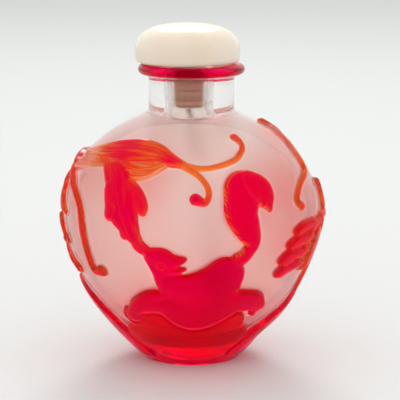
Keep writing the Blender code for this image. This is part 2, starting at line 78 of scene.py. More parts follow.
# Stopper and spoon, as in the solids
PLUG_RADIUS = 3.2 * MM
PLUG_TAPER = 0.3 * MM
PLUG_LENGTH = 8.6 * MM
PLUG_ROUNDING = 0.6 * MM
PLUG_CLEARANCE = 0.35 * MM
RIB_HEIGHT = 0.03 * MM
RIB_LENGTH = 0.13 * MM
BROAD_RIB_LENGTH = 0.29 * MM
RIB_INSET = 0.05 * MM
CAP_RADIUS = 10.75 * MM
CAP_HEIGHT = 7.8 * MM
CAP_SIDE_HEIGHT = 1.3 * MM
CAP_BASE_RADIUS = 9.9 * MM
CAP_FULLNESS = 2.75
CAP_SHIFT = -0.8 * MM
SEAT_GAP = 0.3 * MM
STEM_RADIUS = 0.45 * MM
SPOON_LENGTH = 37.0 * MM
SPOON_LEAN = math.radians(8.5)
SCOOP_LENGTH = 6.0 * MM
SCOOP_HALF_WIDTH = 1.5 * MM
SCOOP_THICKNESS = 0.65 * MM
SCOOP_DISH = 0.5 * MM
SCOOP_SWELL = 0.72

# Carving
RELIEF = 1.3 * MM
CARVING_UNIT = BELLY_HALF_WIDTH / 26.6
EDGE_INSIDE = 0.5 * MM
EDGE_OUTSIDE = 0.15 * MM
OUTLINE_CUT = 0.25 * MM
OUTLINE_WIDTH = 0.2 * MM
OUTLINE_STEP = 0.3 * MM
FORM_BLEND = 0.15 * MM
FORM_CROWN = 0.18
CASING_BLEND = 0.2 * MM
CASING_FADE = (-0.3 * MM, 0.5 * MM)
FOOT_FADE = 2.5 * MM

# Fineness of the grid
COLUMNS = 376
INSIDE_COLUMNS = 94
FRONT_CELL = 0.30 * MM
BACK_CELL = 0.55 * MM
FRONT_REACH = math.radians(100)
ROW_CELL = 0.29 * MM
NECK_CELL = 0.9 * MM

# Tones of the red on the foot, on the rim under it and on the lip
FOOT_TONE = 0.95
RIM_TONE = 0.8
LIP_TONE = 0.7

# Each form of the carving is its share of the full relief, its tone from pale thin glass at 0
# through orange to deep crimson at 1, the strength of the strokes cut in it, and its stations:
# bearing in degrees from the middle of the front to the right, level in percent from -100 at
# the foot through 0 at the belly to 100 at the top of the shoulder, half-width in carving
# units. A share or a tone may be a run of numbers that are spread evenly along the form.
FRONT_LEAF = (
    (0.80, (0.03, 0.12, 0.42, 0.62, 0.40, 0.36, 0.62, 0.32), 0.9,
     ((-74, 60, 1.3), (-56, 64, 2.2), (-44, 66, 2.8), (-30, 67, 3.0), (-20, 66, 2.4), (-12, 62, 1.6),
      (-2, 57, 0.7))),
    (0.75, (0.30, 0.40, 0.22, 0.20), 0.9,
     ((-52, 60, 1.5), (-37, 56, 2.0), (-27, 53, 2.3), (-20, 54, 1.5), (-14, 57, 0.8))),
    ((0.65, 1.00, 1.05, 1.05), (0.40, 0.72, 0.74, 0.66), 0.9,
     ((-48, 58, 1.5), (-38, 46, 2.8), (-33, 32, 3.3), (-31, 19, 3.3), (-28, 8, 2.4), (-25, -3, 1.5))),
    (0.95, 0.70, 0.5, ((-33, 27, 1.3), (-36, 19, 1.7), (-37, 14, 1.4))),
    (0.95, 0.70, 0.5, ((-28, 10, 1.0), (-29, 2, 1.3), (-29, -2, 1.1))),
    (0.95, (0.50, 0.68, 0.62), 0.5, ((-30, 43, 1.0), (-25, 33, 1.5), (-22, 24, 1.4), (-21, 18, 0.8))),
    (0.70, (0.30, 0.05, 0.02, 0.20), 0.9, ((-51, 59, 1.6), (-62, 57, 1.8), (-76, 52, 1.6), (-84, 46, 0.7))),
    (0.95, (0.55, 0.70), 0.4, ((-24, -3, 1.2), (-23, -8, 1.4), (-19, -13, 1.2))),
)
FRONT_TENDRILS = (
    (0.75, (0.24, 0.36, 0.36, 0.55), 0.0,
     ((-4, 58, 0.7), (7, 55, 0.6), (22, 60, 0.6), (29, 66, 0.6), (33, 73, 0.6), (31, 79, 0.8))),
    (0.80, (0.34, 0.36, 0.36, 0.75), 0.0,
     ((-4, 57, 0.7), (3, 50, 0.6), (7, 42, 0.6), (8, 34, 0.6), (6, 27, 0.7), (2, 30, 1.2))),
)
SQUIRREL = (
    (1.15, 0.75, 1.0,
     ((20, -36, 2.0), (20, -21, 1.8), (24, -15, 1.5), (27, -7, 1.6), (25, 1, 2.5), (22, 17, 3.4),
      (23, 29, 3.7), (24, 37, 3.9))),
    (1.15, 0.72, 1.0, ((26, 38, 3.7), (31, 36, 3.1), (34, 30, 2.2), (35, 24, 1.3), (36, 18, 0.5))),
    (1.10, 0.85, 0.2, ((-18, -16, 1.4), (-15, -19, 2.2), (-12, -26, 2.6), (-10, -33, 3.0), (-6, -40, 3.4))),
    (1.20, 0.82, 0.1, ((-19, -12, 0.8), (-13, -16, 2.1), (-10, -18, 1.8), (-6, -18, 1.2), (-3, -17, 0.6))),
    (1.15, 0.80, 0.0, ((-11, -23, 1.2), (-7, -24, 1.0), (-3, -24, 0.5))),
    (1.25, 0.88, 0.2, ((-9, -36, 2.6), (-2, -39, 3.6), (4, -38, 3.9), (11, -35, 4.3), (16, -28, 3.9))),
    (1.20, 0.90, 0.3, ((-31, -54, 1.2), (-15, -49, 2.4), (1, -55, 4.2), (17, -50, 3.2), (25, -48, 2.0))),
    (1.20, 0.88, 0.5, ((18, -46, 2.4), (27, -48, 2.6), (35, -49, 2.3), (39, -52, 1.7))),
    (1.15, 0.88, 0.3, ((34, -49, 1.6), (37, -55, 1.2), (37, -59, 0.6))),
    (1.20, 0.88, 0.2, ((-14, -42, 1.0), (-22, -45, 1.6), (-30, -52, 1.8), (-35, -59, 1.7))),
)
SIDE_STEMS = (
    (0.90, 0.50, 0.0,
     ((-84, 46, 0.8), (-70, 34, 0.8), (-58, 19, 0.8), (-54, 1, 0.9), (-53, -28, 0.8), (-47, -30, 1.3))),
    (0.70, (0.02, 0.06, 0.38, 0.45), 0.0,
     ((98, 82, 0.9), (88, 74, 1.0), (78, 62, 1.0), (73, 46, 0.9), (60, 35, 0.8), (54, 24, 0.8),
      (57, 17, 0.9))),
    (0.80, 0.45, 0.5, ((-84, 30, 0.9), (-82, 20, 1.3), (-74, 10, 1.0), (-71, 8, 0.6))),
    (0.80, 0.45, 0.5, ((-80, 4, 0.7), (-77, -5, 0.8), (-73, -15, 0.5))),
    (0.90, 0.50, 0.5, ((-78, -26, 0.9), (-70, -33, 1.0))),
    (0.90, 0.40, 0.5, ((88, 32, 0.8), (91, 20, 1.1), (86, 6, 0.8))),
    (1.00, 0.55, 0.0, ((92, 3, 0.9), (76, 2, 0.9), (62, -5, 0.9), (59, -17, 0.8), (56, -27, 0.6))),
    (0.95, 0.62, 0.4, ((66, 1, 1.0), (57, -1, 1.2), (52, -3, 1.0))),
    (1.00, 0.66, 0.4, ((64, -8, 1.2), (54, -10, 1.5), (49, -12, 1.2))),
    (1.05, 0.70, 0.4, ((62, -17, 1.2), (51, -19, 1.6), (46, -22, 1.3))),
    (1.00, 0.72, 0.4, ((60, -26, 1.1), (50, -28, 1.5), (46, -31, 1.3))),
    (0.80, 0.50, 0.6, ((70, -4, 1.7), (74, -12, 2.3), (74, -22, 2.0), (70, -30, 1.1))),
    (0.80, 0.55, 0.6, ((90, -2, 1.0), (92, -16, 1.4), (90, -30, 1.3), (86, -43, 1.0), (82, -51, 0.6))),
    (0.90, 0.45, 0.6, ((112, 68, 1.4), (104, 78, 1.7), (98, 84, 1.2))),
)

# Smaller lobes and ribs that lie on the leaf at the right and on the hanging leaf. The first and the fourth
# are raised ribs whose pale tone paints highlight lines on those leaves.
FINE_LOBES_AND_HIGHLIGHT_RIBS = (
    # Raised rib whose pale tone paints a highlight line down the leaf at the right.
    (1.15, 0.35, 0.0, ((77, 6, 0.4), (69, -8, 0.5), (66, -20, 0.5), (65, -32, 0.4))),
    (1.10, 0.30, 0.0, ((66, -14, 0.3), (58, -15, 0.3), (52, -15, 0.2))),
    (1.10, 0.30, 0.0, ((65, -23, 0.3), (57, -24, 0.3), (51, -24, 0.2))),
    # Raised rib whose pale tone paints a highlight line on the hanging leaf.
    (1.18, 0.40, 0.0, ((-42, 35, 0.4), (-38, 27, 0.4), (-34, 21, 0.4), (-30, 14, 0.3))),
    (1.12, 0.66, 0.4, ((-40, 38, 1.0), (-38, 29, 1.4), (-36, 20, 1.6), (-36, 14, 1.3))),
)

# Eye of the squirrel: bearing, level, radius of the ring round it
EYE = (-13, -20)
EYE_RING = 0.85 * MM
EYE_LINE = 0.22 * MM
EYE_RISE = 0.16 * MM
EYE_TONE = -0.25

ROCKS = (
    (1.00, 0.85, 0.2, ((-92, -44, 1.3), (-80, -53, 2.0), (-66, -66, 2.0), (-57, -78, 2.1), (-48, -91, 2.2))),
    (1.00, 0.85, 0.2, ((92, -51, 1.2), (78, -61, 1.7), (60, -70, 1.7), (50, -78, 1.9), (41, -89, 1.9))),
    (0.75, 0.60, 0.2, ((-38, -60, 2.0), (-27, -65, 3.6), (-12, -67, 4.2), (8, -69, 4.2), (24, -65, 3.4))),
    (0.75, 0.66, 0.2, ((-42, -74, 2.2), (-28, -79, 3.6), (-9, -82, 4.2), (10, -83, 4.2), (28, -80, 3.4),
                       (36, -74, 1.8))),
    (0.90, 0.70, 0.2, ((110, -78, 2.2), (130, -70, 3.2), (150, -76, 3.0), (168, -72, 3.4), (186, -78, 2.8))),
    (0.90, 0.70, 0.2, ((192, -76, 2.6), (212, -68, 3.4), (230, -76, 2.8), (250, -70, 2.4), (264, -62, 1.2))),
)
BACK_VINE = (
    (1.00, 0.60, 0.0, ((112, 66, 1.1), (126, 48, 1.2), (144, 36, 1.2), (166, 38, 1.1), (187, 45, 1.0))),
    (1.05, 0.60, 0.0, ((184, 45, 1.0), (208, 44, 1.0), (232, 50, 1.1), (262, 55, 1.2), (278, 50, 1.0))),
    (0.80, 0.40, 0.0, ((166, 38, 0.8), (172, 54, 0.6), (182, 62, 0.6), (192, 58, 0.6), (190, 50, 1.0))),
    (0.80, 0.40, 0.0, ((208, 44, 0.8), (214, 28, 0.6), (224, 18, 0.6), (234, 20, 0.6), (232, 28, 1.0))),
    (0.80, 0.50, 0.0, ((144, 36, 0.9), (150, 20, 0.8), (148, 10, 0.8))),
)

# Vine leaves set out by rule: bearing, level, heading of the middle lobe in degrees from
# straight up, clockwise, and length of that lobe in carving units. A lobe's outline is its
# places from base to tip and its half-widths there, as shares of its widest.
LEAVES = (
    (127, 26, 160, 9.0),
    (205, 24, 200, 9.5),
    (250, 34, 150, 9.0),
    (262, -18, 190, 7.5),
    (112, -22, 185, 7.5),
)
LOBE_TURNS = (0, 55, -55, 112, -112)
LOBE_LENGTHS = (1.0, 0.86, 0.86, 0.62, 0.62)
LOBE_HALF_WIDTH = 0.29
LOBE_OUTLINE = ((0.0, 0.3), (0.12, 0.5), (0.35, 0.85), (0.55, 1.0), (0.8, 0.7), (0.98, 0.25))
LEAF_SHARE = 0.95
LEAF_STEP = 0.05
LEAF_TONE = 0.5
LEAF_STROKES = 0.6

# Bunch of grapes on the back
GRAPES_BEARING = 150
GRAPES_LEVEL = 4
GRAPE_ROWS = (3, 4, 3, 2, 1)
GRAPE_RADIUS = 1.45 * MM
GRAPE_PITCH = 2.5 * MM
GRAPE_ROW_STEP = 0.9
GRAPE_SHARE = 1.25
GRAPE_TONE = 0.8

# Camera, fitted to the outline in the photograph
CAMERA_DISTANCE = 300.0 * MM
CAMERA_ELEVATION = math.radians(11.5)
AIM = (1.7456 * MM, 0.0, 33.0 * MM)
LENS = 130.2


# Outline of the flask


def smooth_max(first, second, blend):
    """The larger of two lengths, with a rounded corner where they are nearly equal."""
    nearness = np.maximum(blend - np.abs(first - second), 0.0) / blend
    return np.maximum(first, second) + nearness * nearness * blend / 4


def half_size(height, belly, foot):
    """Half-width at a height: a soft superellipse below the belly, a quarter ellipse above it
    that is blended into the neck."""
    height = np.asarray(height, dtype=float)
    reach = BELLY_HEIGHT / (1 - (foot / belly) ** LOWER_FULLNESS) ** (1 / LOWER_FULLNESS)
    below = np.clip((BELLY_HEIGHT - height) / reach, 0.0, 1.0)
    lower = belly * (1 - below ** LOWER_FULLNESS) ** (1 / LOWER_FULLNESS)
    above = np.clip((height - BELLY_HEIGHT) / SHOULDER_RISE, 0.0, 1.0)
    upper = smooth_max(belly * np.sqrt(1 - above * above), NECK_RADIUS, SHOULDER_BLEND)
    return np.where(height < BELLY_HEIGHT, lower, upper)


def half_width(height):
    return half_size(height, BELLY_HALF_WIDTH, FOOT_HALF_WIDTH)


def half_depth(height):
    return half_size(height, BELLY_HALF_DEPTH, FOOT_HALF_DEPTH)


def level_height(level):
    """Height of a level in percent: -100 foot, 0 belly, 100 top of the shoulder."""
    level = np.asarray(level, dtype=float)
    return BELLY_HEIGHT + np.where(level < 0, BELLY_HEIGHT, SHOULDER_RISE) * level / 100


def on_flask(bearing, height):
    """Points of the clear glass: an ellipse at each height, at a bearing from the front."""
    return np.stack([
        half_width(height) * np.sin(bearing),
        -half_depth(height) * np.cos(bearing),
        height + 0.0 * bearing,
    ], axis=-1)


def flask_frame(bearing, height):
    """Point, the two surface directions per radian and per metre, and the outward normal."""
    turn = 0.002
    climb = 0.02 * MM
    around = (on_flask(bearing + turn, height) - on_flask(bearing - turn, height)) / (2 * turn)
    up = (on_flask(bearing, height + climb) - on_flask(bearing, height - climb)) / (2 * climb)
    normal = np.cross(around, up)
    normal /= np.linalg.norm(normal, axis=-1, keepdims=True)
    return on_flask(bearing, height), around, up, normal


def walk(bearing, height, step):
    """Bearing and height reached from a place by a step that lies in the surface there."""
    _, around, up, _ = flask_frame(bearing, height)
    around_around = around @ around
    up_up = up @ up
    mixed = around @ up
    scale = around_around * up_up - mixed * mixed
    turn = (step @ around * up_up - step @ up * mixed) / scale
    climb = (step @ up * around_around - step @ around * mixed) / scale
    return bearing + turn, height + climb


def smooth_run(rows, count):
    """Rows of numbers at count places along a Catmull-Rom curve through the given rows."""
    rows = np.asarray(rows, dtype=float)
    padded = np.vstack([2 * rows[0] - rows[1], rows, 2 * rows[-1] - rows[-2]])
    place = np.linspace(0, len(rows) - 1, count)
    span = np.minimum(place.astype(int), len(rows) - 2)
    t = (place - span)[:, None]
    a, b, c, d = (padded[span + step] for step in range(4))
    square = (2 * a - 5 * b + 4 * c - d) * t ** 2
    cube = (3 * b - a - 3 * c + d) * t ** 3
    return 0.5 * (2 * b + (c - a) * t + square + cube)


# Grid


def bearings():
    """Column bearings: cells of one width over the front and wider ones behind, measured
    round the belly, with the count made exact."""
    fine = np.linspace(-math.pi, math.pi, 7201)
    pace = np.hypot(BELLY_HALF_WIDTH * np.cos(fine), BELLY_HALF_DEPTH * np.sin(fine))
    behind = np.clip((np.abs(fine) - FRONT_REACH) / math.radians(15), 0.0, 1.0)
    density = pace / (FRONT_CELL + (BACK_CELL - FRONT_CELL) * behind)
    count = np.concatenate([[0.0], np.cumsum(0.5 * (density[1:] + density[:-1]))])
    return np.interp(np.arange(COLUMNS) / COLUMNS * count[-1], count, fine)


def body_heights():
    """Row heights from the foot to the flare: even steps along the outline, longer ones up
    the neck."""
    top = LIP_TOP - LIP_HEIGHT - LIP_FLARE
    fine = np.linspace(0.0, top, 6001)
    middle = 0.5 * (half_width(fine) + half_depth(fine))
    steps = np.hypot(np.diff(fine), np.diff(middle))
    neck = np.clip((fine[1:] - level_height(97)) / (1.0 * MM), 0.0, 1.0)
    count = np.concatenate([[0.0], np.cumsum(steps / (ROW_CELL + (NECK_CELL - ROW_CELL) * neck))])
    return np.interp(np.linspace(0.0, count[-1], int(count[-1]) + 1), count, fine)


def surface_grid(bearing, height):
    """Points and outward normals of the clear glass on the grid of heights by bearings."""
    points = on_flask(bearing[None, :], height[:, None])
    up = np.gradient(points, axis=0)
    around = np.stack([
        half_width(height)[:, None] * np.cos(bearing)[None, :],
        half_depth(height)[:, None] * np.sin(bearing)[None, :],
        np.zeros((len(height), len(bearing))),
    ], axis=-1)
    normal = np.cross(around, up)
    normal /= np.linalg.norm(normal, axis=-1, keepdims=True)
    return points, normal


# Carving


def leaf_forms():
    """Forms of the leaves that are set out by rule: lobes that spread from the leaf's base."""
    forms = []
    for bearing, level, heading, length in LEAVES:
        start = (math.radians(bearing), float(level_height(level)))
        _, around, _, normal = flask_frame(*start)
        across = around / np.linalg.norm(around)
        upward = np.cross(normal, across)
        for order, (turn, share) in enumerate(zip(LOBE_TURNS, LOBE_LENGTHS)):
            angle = math.radians(heading + turn)
            direction = across * math.sin(angle) + upward * math.cos(angle)
            reach = length * share
            stations = []
            for part, wide in LOBE_OUTLINE:
                turned, height = walk(*start, direction * (reach * part * CARVING_UNIT))
                span = SHOULDER_RISE if height > BELLY_HEIGHT else BELLY_HEIGHT
                stations.append((
                    math.degrees(turned),
                    100 * (height - BELLY_HEIGHT) / span,
                    reach * LOBE_HALF_WIDTH * wide,
                ))
            forms.append((LEAF_SHARE - LEAF_STEP * order, LEAF_TONE, LEAF_STROKES, tuple(stations)))
    return forms


def spine(stations):
    """Spine of a form as points on the glass, its half-widths and its length so far."""
    run = smooth_run(stations, 8 * len(stations))
    bearing = np.radians(run[:, 0])
    points = on_flask(bearing, level_height(run[:, 1]))
    widths = np.maximum(run[:, 2], 0.3) * CARVING_UNIT
    steps = np.linalg.norm(np.diff(points, axis=0), axis=1)
    return points, widths, np.concatenate([[0.0], np.cumsum(steps)])


def inside_form(points, normals, form_spine):
    """For each point: how far it is inside the form's edge, its place along the spine and its
    signed distance from the spine. Nearest over all spans, each a cone of changing width."""
    line, widths, lengths = form_spine
    start = line[:-1]
    span = line[1:] - start
    square = np.sum(span * span, axis=1)
    to_start = points[:, None, :] - start[None]
    t = np.clip(np.sum(to_start * span[None], axis=2) / square[None], 0.0, 1.0)
    away = to_start - t[:, :, None] * span[None]
    distance = np.linalg.norm(away, axis=2)
    width = widths[:-1][None] + t * np.diff(widths)[None]
    inside = width - distance
    best = np.argmax(inside, axis=1)
    rows = np.arange(len(points))
    side = np.sign(np.sum(np.cross(span[best], away[rows, best]) * normals, axis=1))
    along = lengths[:-1][best] + t[rows, best] * np.diff(lengths)[best]
    return inside[rows, best], along, side * distance[rows, best], width[rows, best]


def soft_step(value, low, high):
    """0 below low, 1 above high, and an S-curve between them."""
    t = np.clip((value - low) / (high - low), 0.0, 1.0)
    return t * t * (3 - 2 * t)


def along_run(values, place, length):
    """A form's share or tone at places along it: one number, or numbers spread evenly."""
    values = np.atleast_1d(values)
    return np.interp(place, np.linspace(0.0, length, len(values)), values)


def carve(points, normals):
    """Height of the casing over the clear glass and the marks that the finish reads. Forms
    are laid on one after another: the higher one shows, and each cuts a fine line round
    itself into what lies well below it. A mark is a row of values, one to a point."""
    shape = points.shape[:2]
    flat = points.reshape(-1, 3)
    flat_normals = normals.reshape(-1, 3)
    size = len(flat)
    rise = np.zeros(size)
    edge = np.full(size, -2.0 * MM)
    marks = np.zeros((6, size))
    tone, fur, veins, along, across, fan = marks
    tone += 0.5
    groups = (
        (ROCKS, False), (leaf_forms(), True), (BACK_VINE, True), (SIDE_STEMS, True),
        (FRONT_LEAF, True), (FINE_LOBES_AND_HIGHLIGHT_RIBS, True), (FRONT_TENDRILS, False), (SQUIRREL, False),
    )
    forms = [form + (veined,) for group, veined in groups for form in group]
    for share, form_tone, strokes, stations, veined in forms:
        line = spine(stations)
        reach = line[1].max() + 2.0 * MM
        low = line[0].min(axis=0) - reach
        high = line[0].max(axis=0) + reach
        near = np.nonzero(np.all((flat > low) & (flat < high), axis=1))[0]
        inside, place, aside, width = inside_form(flat[near], flat_normals[near], line)
        length = line[2][-1]
        full = RELIEF * along_run(share, place, length)
        dome = np.sqrt(np.clip(inside / width, 0.0, 1.0))
        lift = full * soft_step(inside, -EDGE_OUTSIDE, EDGE_INSIDE) * (1 - FORM_CROWN + FORM_CROWN * dome)
        below = rise[near]
        step = np.clip((full - below) / OUTLINE_STEP, 0.0, 1.0) * (below > 0.3 * RELIEF)
        cut = OUTLINE_CUT * np.exp(-((inside + 0.12 * MM) / OUTLINE_WIDTH) ** 2) * step
        below = np.maximum(below - cut, 0.0)
        pick = (lift >= below) & (inside > -EDGE_OUTSIDE)
        shown = near[pick]
        rise[near] = np.where(lift > 0.0, smooth_max(lift, below, FORM_BLEND), below)
        edge[near] = np.maximum(edge[near], inside)
        tone[shown] = along_run(form_tone, place, length)[pick]
        fur[shown] = 0.0 if veined else strokes
        veins[shown] = strokes if veined else 0.0
        along[shown] = place[pick]
        across[shown] = aside[pick]
        fan[shown] = (aside / width)[pick]
    for place in grape_places():
        distance = np.linalg.norm(flat - on_flask(*place), axis=1)
        inside = GRAPE_RADIUS - distance
        dome = np.sqrt(np.clip(1 - (distance / GRAPE_RADIUS) ** 2, 0.0, 1.0))
        lift = GRAPE_SHARE * RELIEF * dome
        over = (lift > rise) & (inside > 0)
        rise = np.maximum(rise, lift)
        edge = np.maximum(edge, inside)
        tone[over] = GRAPE_TONE
        marks[1:3, over] = 0.0
    centre = on_flask(math.radians(EYE[0]), level_height(EYE[1]))
    distance = np.linalg.norm(flat - centre, axis=1)
    ring = np.exp(-((distance - EYE_RING) / EYE_LINE) ** 2)
    rise += EYE_RISE * ring
    tone += EYE_TONE * ring
    return rise.reshape(shape), edge.reshape(shape), marks.reshape(6, *shape)


def grape_places():
    """Bearings and heights of the berries, in rows that narrow downwards."""
    top = (math.radians(GRAPES_BEARING), float(level_height(GRAPES_LEVEL)))
    _, around, _, normal = flask_frame(*top)
    across = around / np.linalg.norm(around)
    upward = np.cross(normal, across)
    places = []
    for row, count in enumerate(GRAPE_ROWS):
        for place in range(count):
            aside = (place - (count - 1) / 2) * GRAPE_PITCH
            places.append(walk(*top, across * aside - upward * (row * GRAPE_PITCH * GRAPE_ROW_STEP)))
    return places


def soften(field, passes):
    """Each value moved half way to the mean of its four neighbours, round the columns."""
    for _ in range(passes):
        padded = np.vstack([field[:1], field, field[-1:]])
        mean = (padded[:-2] + padded[2:] + np.roll(field, 1, axis=1) + np.roll(field, -1, axis=1)) / 4
        field = 0.5 * (field + mean)
    return field


# Meshes


def build_mesh(name, points, groups, marks=None):
    """Mesh object from points, arrays of faces of equal count, and marks on the points."""
    mesh = bpy.data.meshes.new(name)
    loops = np.concatenate([faces.reshape(-1) for faces in groups])
    totals = np.concatenate([np.full(len(faces), faces.shape[1]) for faces in groups])
    starts = np.concatenate([[0], np.cumsum(totals)[:-1]])
    mesh.vertices.add(len(points))
    mesh.vertices.foreach_set("co", np.asarray(points, dtype=np.float32).reshape(-1))
    mesh.loops.add(len(loops))
    mesh.loops.foreach_set("vertex_index", loops.astype(np.int32))
    mesh.polygons.add(len(totals))
    mesh.polygons.foreach_set("loop_start", starts.astype(np.int32))
    mesh.update(calc_edges=True)
    mesh.validate()
    mesh.shade_smooth()
    for mark, values in (marks or {}).items():
        layer = mesh.attributes.new(mark, 'FLOAT', 'POINT')
        layer.data.foreach_set("value", np.asarray(values, dtype=np.float32).reshape(-1))
    item = bpy.data.objects.new(name, mesh)
    bpy.context.scene.collection.objects.link(item)
    return item


def ring_faces(low, high):
    """Faces between two rings of point numbers: quads, or wider faces where one ring has a
    whole number of times as many points as the other."""
    if len(low) == len(high):
        return np.stack([low, np.roll(low, -1), np.roll(high, -1), high], axis=1)
    if len(low) < len(high):
        ratio = len(high) // len(low)
        start = np.arange(len(low)) * ratio
        fan = [np.roll(high, -step)[start] for step in range(ratio, -1, -1)]
        return np.stack([low, np.roll(low, -1)] + fan, axis=1)
    ratio = len(low) // len(high)
    start = np.arange(len(high)) * ratio
    fan = [np.roll(low, -step)[start] for step in range(ratio + 1)]
    return np.stack(fan + [np.roll(high, -1), high], axis=1)


def skin(name, rings, marks=None):
    """Closed mesh from rings of points; a ring of one point is a pole."""
    points = np.vstack(rings)
    firsts = np.concatenate([[0], np.cumsum([len(ring) for ring in rings])])
    groups = {}
    for index in range(len(rings) - 1):
        low = np.arange(firsts[index], firsts[index + 1])
        high = np.arange(firsts[index + 1], firsts[index + 2])
        if len(low) == 1:
            faces = np.stack([np.full(len(high), low[0]), np.roll(high, -1), high], axis=1)
        elif len(high) == 1:
            faces = np.stack([low, np.roll(low, -1), np.full(len(low), high[0])], axis=1)
        else:
            faces = ring_faces(low, high)
        groups.setdefault(faces.shape[1], []).append(faces)
    return build_mesh(name, points, [np.vstack(faces) for faces in groups.values()], marks)


def oval(bearing, height, across, deep, shift=0.0):
    """Ring of points on an ellipse at one height."""
    return np.stack([
        shift + across * np.sin(bearing),
        -deep * np.cos(bearing),
        np.full(len(bearing), height),
    ], axis=1)


def bore_radius():
    """Radius of the bore: the plug's radius and the clearance round it."""
    return PLUG_RADIUS + PLUG_CLEARANCE


def hollow_size(height, belly):
    """Half-size of the hollow above the belly: a quarter ellipse that carries on upwards as a
    slope, blended into the bore, so that the throat is a smooth funnel."""
    rise = SHOULDER_RISE - WALL
    share = (height - BELLY_HEIGHT) / rise
    size = (belly - WALL) * math.sqrt(1 - min(share, 1.0) ** 2)
    size -= THROAT_SLOPE * rise * max(share - 1, 0.0)
    return float(smooth_max(size, bore_radius() - PLUG_TAPER, THROAT_BLEND))


def inside_profile():
    """Rows of the inside from the mouth's edge to the floor of the hollow: height, half-width,
    half-depth and shift. The bore opens into the hollow through a rounded throat."""
    bore = bore_radius()
    rows = [(LIP_TOP, 0.5 * (LIP_RADIUS + bore), 0.5 * (LIP_RADIUS + bore), 0.5 * BORE_SHIFT)]
    for share in (0.0, 0.5, 1.0):
        angle = 0.5 * math.pi * share
        radius = bore + MOUTH_BEVEL * (1 - math.sin(angle))
        rows.append((LIP_TOP - MOUTH_BEVEL * (1 - math.cos(angle)), radius, radius, BORE_SHIFT))
    rise = SHOULDER_RISE - WALL
    throat = BELLY_HEIGHT + rise
    for height in np.linspace(LIP_TOP - 2 * MOUTH_BEVEL, throat, 24):
        share = (LIP_TOP - height) / PLUG_LENGTH
        radius = max(bore - PLUG_TAPER * min(share, 1.0), hollow_size(height, BELLY_HALF_WIDTH))
        rows.append((height, radius, radius, BORE_SHIFT))
    for angle in np.linspace(0.5 * math.pi, 0.0, 36)[1:]:
        share = math.sin(angle)
        height = BELLY_HEIGHT + rise * share
        across = hollow_size(height, BELLY_HALF_WIDTH)
        deep = hollow_size(height, BELLY_HALF_DEPTH)
        rows.append((height, across, deep, BORE_SHIFT * share))
    depth = BELLY_HEIGHT - BASE_THICKNESS
    for angle in np.linspace(0.0, 0.5 * math.pi, 30)[1:-1]:
        height = BELLY_HEIGHT - depth * math.sin(angle)
        share = (height - BASE_THICKNESS) / depth
        rounding = math.sqrt(1 - (1 - share) ** FLOOR_FULLNESS)
        across = float(half_width(height) - WALL) * rounding
        deep = float(half_depth(height) - WALL) * rounding
        rows.append((height, across, deep, 0.0))
    return rows


